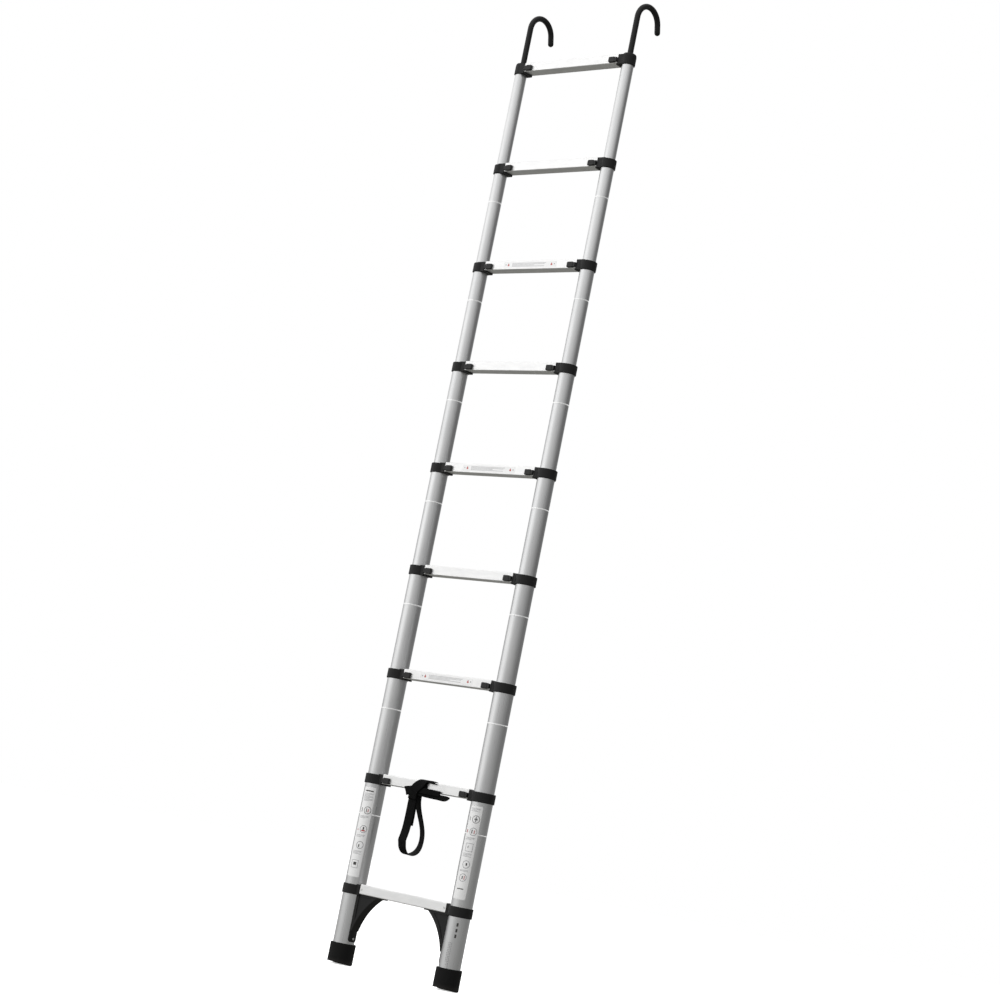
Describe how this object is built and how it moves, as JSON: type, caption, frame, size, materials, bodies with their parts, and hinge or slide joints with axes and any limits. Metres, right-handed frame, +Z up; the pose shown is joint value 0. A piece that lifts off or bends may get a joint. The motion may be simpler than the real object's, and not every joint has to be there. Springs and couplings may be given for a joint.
{
  "type": "telescoping ladder",
  "caption": "Telescoping aluminium ladder with nested round stiles, sliding rungs locked by sprung thumb latches, lift-out top hooks, rubber feet and a carrying strap.",
  "frame": {"origin": "floor plane, midway between the axes of the two stiles", "axes": "+Z up the stiles, +X from the left to the right stile as the climber sees them, +Y away from the climber towards the hooks"},
  "size_m": [0.464, 0.14, 2.7677],
  "materials": {
    "anodised_tube": "satin anodised silver",
    "rung_aluminium": "bright satin extrusion with ribbed tread",
    "black_plastic": "moulded black nylon, fine texture",
    "latch_plastic": "moulded black nylon",
    "bush_plastic": "natural acetal",
    "foot_rubber": "black moulded rubber",
    "hook_rubber": "black rubber sleeve",
    "hook_steel": "zinc plated",
    "rivet_steel": "bright rivet",
    "webbing": "black woven webbing"
  },
  "bodies": {
    "base": {"stile_tubes_1": "anodised_tube", "collars_1": "black_plastic", "rung_1": "rung_aluminium", "collars_2": "black_plastic", "rung_2": "rung_aluminium", "foot_left": "foot_rubber", "foot_right": "foot_rubber", "gussets": "black_plastic", "rivets": "rivet_steel", "strap_wrap": "webbing", "strap_loop": "webbing"},
    "stage_2": {"stile_tubes_2": "anodised_tube", "guide_bushes_2": "bush_plastic", "collars_3": "black_plastic", "rung_3": "rung_aluminium"},
    "stage_3": {"stile_tubes_3": "anodised_tube", "guide_bushes_3": "bush_plastic", "collars_4": "black_plastic", "rung_4": "rung_aluminium"},
    "stage_4": {"stile_tubes_4": "anodised_tube", "guide_bushes_4": "bush_plastic", "collars_5": "black_plastic", "rung_5": "rung_aluminium"},
    "stage_5": {"stile_tubes_5": "anodised_tube", "guide_bushes_5": "bush_plastic", "collars_6": "black_plastic", "rung_6": "rung_aluminium"},
    "stage_6": {"stile_tubes_6": "anodised_tube", "guide_bushes_6": "bush_plastic", "collars_7": "black_plastic", "rung_7": "rung_aluminium"},
    "stage_7": {"stile_tubes_7": "anodised_tube", "guide_bushes_7": "bush_plastic", "collars_8": "black_plastic", "rung_8": "rung_aluminium"},
    "stage_8": {"stile_tubes_8": "anodised_tube", "guide_bushes_8": "bush_plastic", "collars_9": "black_plastic", "rung_9": "rung_aluminium", "hook_guides": "bush_plastic"},
    "latch_left_2": {"latch_left_2": "latch_plastic"},
    "latch_right_2": {"latch_right_2": "latch_plastic"},
    "latch_left_3": {"latch_left_3": "latch_plastic"},
    "latch_right_3": {"latch_right_3": "latch_plastic"},
    "latch_left_4": {"latch_left_4": "latch_plastic"},
    "latch_right_4": {"latch_right_4": "latch_plastic"},
    "latch_left_5": {"latch_left_5": "latch_plastic"},
    "latch_right_5": {"latch_right_5": "latch_plastic"},
    "latch_left_6": {"latch_left_6": "latch_plastic"},
    "latch_right_6": {"latch_right_6": "latch_plastic"},
    "latch_left_7": {"latch_left_7": "latch_plastic"},
    "latch_right_7": {"latch_right_7": "latch_plastic"},
    "latch_left_8": {"latch_left_8": "latch_plastic"},
    "latch_right_8": {"latch_right_8": "latch_plastic"},
    "latch_left_9": {"latch_left_9": "latch_plastic"},
    "latch_right_9": {"latch_right_9": "latch_plastic"},
    "hook_left": {"hook_rod_left": "hook_steel", "hook_sleeve_left": "hook_rubber"},
    "hook_right": {"hook_rod_right": "hook_steel", "hook_sleeve_right": "hook_rubber"}
  },
  "joints": [
    {"name": "stage_2_slide", "type": "slide", "parent": "base", "child": "stage_2", "axis": [0, 0, 1], "range_m": [-0.263, 0]},
    {"name": "stage_3_slide", "type": "slide", "parent": "stage_2", "child": "stage_3", "axis": [0, 0, 1], "range_m": [-0.263, 0]},
    {"name": "stage_4_slide", "type": "slide", "parent": "stage_3", "child": "stage_4", "axis": [0, 0, 1], "range_m": [-0.263, 0]},
    {"name": "stage_5_slide", "type": "slide", "parent": "stage_4", "child": "stage_5", "axis": [0, 0, 1], "range_m": [-0.263, 0]},
    {"name": "stage_6_slide", "type": "slide", "parent": "stage_5", "child": "stage_6", "axis": [0, 0, 1], "range_m": [-0.263, 0]},
    {"name": "stage_7_slide", "type": "slide", "parent": "stage_6", "child": "stage_7", "axis": [0, 0, 1], "range_m": [-0.263, 0]},
    {"name": "stage_8_slide", "type": "slide", "parent": "stage_7", "child": "stage_8", "axis": [0, 0, 1], "range_m": [-0.271, 0]},
    {"name": "latch_left_2_slide", "type": "slide", "parent": "base", "child": "latch_left_2", "axis": [1, 0, 0], "range_m": [0, 0.007], "stiffness_N_per_m": 400, "springref_m": -0.01},
    {"name": "latch_right_2_slide", "type": "slide", "parent": "base", "child": "latch_right_2", "axis": [-1, 0, 0], "range_m": [0, 0.007], "stiffness_N_per_m": 400, "springref_m": -0.01},
    {"name": "latch_left_3_slide", "type": "slide", "parent": "stage_2", "child": "latch_left_3", "axis": [1, 0, 0], "range_m": [0, 0.007], "stiffness_N_per_m": 400, "springref_m": -0.01},
    {"name": "latch_right_3_slide", "type": "slide", "parent": "stage_2", "child": "latch_right_3", "axis": [-1, 0, 0], "range_m": [0, 0.007], "stiffness_N_per_m": 400, "springref_m": -0.01},
    {"name": "latch_left_4_slide", "type": "slide", "parent": "stage_3", "child": "latch_left_4", "axis": [1, 0, 0], "range_m": [0, 0.007], "stiffness_N_per_m": 400, "springref_m": -0.01},
    {"name": "latch_right_4_slide", "type": "slide", "parent": "stage_3", "child": "latch_right_4", "axis": [-1, 0, 0], "range_m": [0, 0.007], "stiffness_N_per_m": 400, "springref_m": -0.01},
    {"name": "latch_left_5_slide", "type": "slide", "parent": "stage_4", "child": "latch_left_5", "axis": [1, 0, 0], "range_m": [0, 0.007], "stiffness_N_per_m": 400, "springref_m": -0.01},
    {"name": "latch_right_5_slide", "type": "slide", "parent": "stage_4", "child": "latch_right_5", "axis": [-1, 0, 0], "range_m": [0, 0.007], "stiffness_N_per_m": 400, "springref_m": -0.01},
    {"name": "latch_left_6_slide", "type": "slide", "parent": "stage_5", "child": "latch_left_6", "axis": [1, 0, 0], "range_m": [0, 0.007], "stiffness_N_per_m": 400, "springref_m": -0.01},
    {"name": "latch_right_6_slide", "type": "slide", "parent": "stage_5", "child": "latch_right_6", "axis": [-1, 0, 0], "range_m": [0, 0.007], "stiffness_N_per_m": 400, "springref_m": -0.01},
    {"name": "latch_left_7_slide", "type": "slide", "parent": "stage_6", "child": "latch_left_7", "axis": [1, 0, 0], "range_m": [0, 0.007], "stiffness_N_per_m": 400, "springref_m": -0.01},
    {"name": "latch_right_7_slide", "type": "slide", "parent": "stage_6", "child": "latch_right_7", "axis": [-1, 0, 0], "range_m": [0, 0.007], "stiffness_N_per_m": 400, "springref_m": -0.01},
    {"name": "latch_left_8_slide", "type": "slide", "parent": "stage_7", "child": "latch_left_8", "axis": [1, 0, 0], "range_m": [0, 0.007], "stiffness_N_per_m": 400, "springref_m": -0.01},
    {"name": "latch_right_8_slide", "type": "slide", "parent": "stage_7", "child": "latch_right_8", "axis": [-1, 0, 0], "range_m": [0, 0.007], "stiffness_N_per_m": 400, "springref_m": -0.01},
    {"name": "latch_left_9_slide", "type": "slide", "parent": "stage_8", "child": "latch_left_9", "axis": [1, 0, 0], "range_m": [0, 0.007], "stiffness_N_per_m": 400, "springref_m": -0.01},
    {"name": "latch_right_9_slide", "type": "slide", "parent": "stage_8", "child": "latch_right_9", "axis": [-1, 0, 0], "range_m": [0, 0.007], "stiffness_N_per_m": 400, "springref_m": -0.01},
    {"name": "hook_left_lift", "type": "slide", "parent": "stage_8", "child": "hook_left", "axis": [0, 0, 1], "range_m": [0, 0.07]},
    {"name": "hook_right_lift", "type": "slide", "parent": "stage_8", "child": "hook_right", "axis": [0, 0, 1], "range_m": [0, 0.07]}
  ]
}
